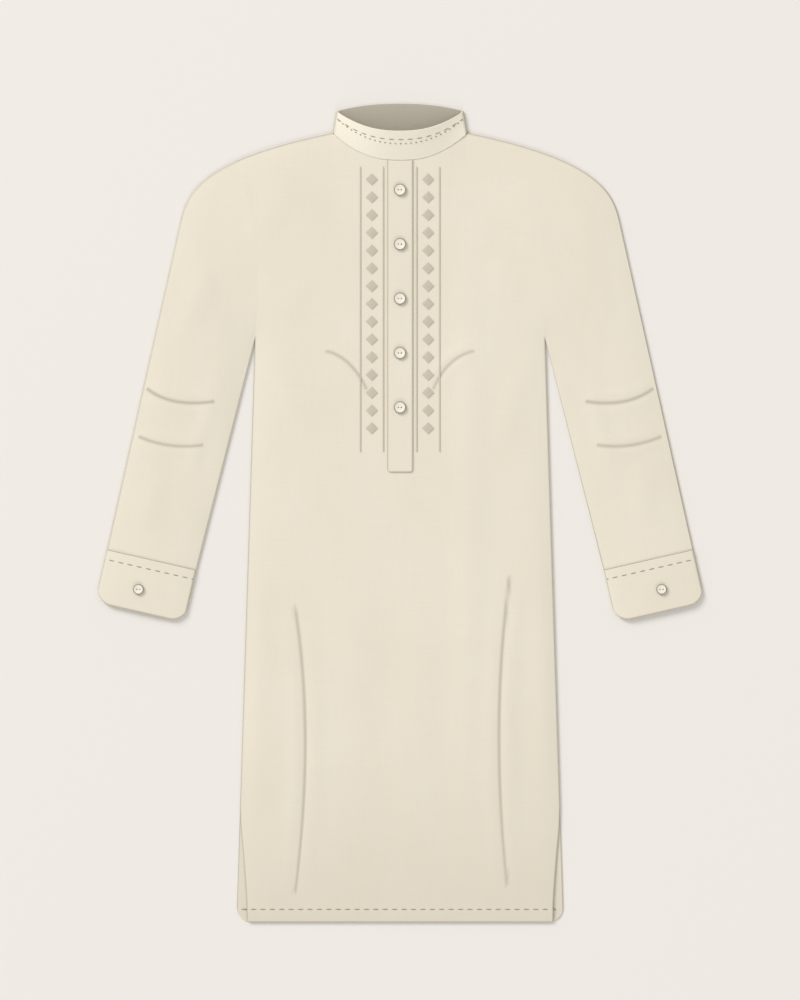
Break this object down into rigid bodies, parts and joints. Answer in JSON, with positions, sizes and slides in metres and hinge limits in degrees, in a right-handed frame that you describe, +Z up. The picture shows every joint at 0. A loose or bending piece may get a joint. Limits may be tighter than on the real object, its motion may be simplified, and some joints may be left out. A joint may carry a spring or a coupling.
{
  "type": "kurta laid flat",
  "caption": "Long straight tunic in plain cream cotton, laid flat on its back, with a band collar, a buttoned placket between columns of embroidered lozenges, and buttoned cuffs",
  "frame": {"origin": "the middle of the garment's footprint, on the surface that it lies on", "axes": "+Y runs up the garment from hem to neck, +X to the wearer's left, +Z up out of the surface"},
  "size_m": [0.8052, 1.089, 0.0213],
  "materials": {
    "cotton_cloth": "matt plain-woven cream cotton with a soft nap",
    "embroidery_thread": "low-sheen stone-beige satin-stitch thread",
    "button_shell": "smooth satin cream, a soft highlight"
  },
  "bodies": {
    "root": {"front": "cotton_cloth", "back": "cotton_cloth", "sleeve_left": "cotton_cloth", "sleeve_right": "cotton_cloth", "cuff_left": "cotton_cloth", "cuff_right": "cotton_cloth", "collar": "cotton_cloth", "placket": "cotton_cloth", "cord_left_inner": "embroidery_thread", "cord_left_outer": "embroidery_thread", "cord_right_inner": "embroidery_thread", "cord_right_outer": "embroidery_thread", "lozenge_left_01": "embroidery_thread", "lozenge_left_02": "embroidery_thread", "lozenge_left_03": "embroidery_thread", "lozenge_left_04": "embroidery_thread", "lozenge_left_05": "embroidery_thread", "lozenge_left_06": "embroidery_thread", "lozenge_left_07": "embroidery_thread", "lozenge_left_08": "embroidery_thread", "lozenge_left_09": "embroidery_thread", "lozenge_left_10": "embroidery_thread", "lozenge_left_11": "embroidery_thread", "lozenge_left_12": "embroidery_thread", "lozenge_left_13": "embroidery_thread", "lozenge_left_14": "embroidery_thread", "lozenge_left_15": "embroidery_thread", "lozenge_right_01": "embroidery_thread", "lozenge_right_02": "embroidery_thread", "lozenge_right_03": "embroidery_thread", "lozenge_right_04": "embroidery_thread", "lozenge_right_05": "embroidery_thread", "lozenge_right_06": "embroidery_thread", "lozenge_right_07": "embroidery_thread", "lozenge_right_08": "embroidery_thread", "lozenge_right_09": "embroidery_thread", "lozenge_right_10": "embroidery_thread", "lozenge_right_11": "embroidery_thread", "lozenge_right_12": "embroidery_thread", "lozenge_right_13": "embroidery_thread", "lozenge_right_14": "embroidery_thread", "lozenge_right_15": "embroidery_thread", "button_placket_1": "button_shell", "button_placket_2": "button_shell", "button_placket_3": "button_shell", "button_placket_4": "button_shell", "button_placket_5": "button_shell", "button_cuff_left": "button_shell", "button_cuff_right": "button_shell"}
  },
  "joints": []
}
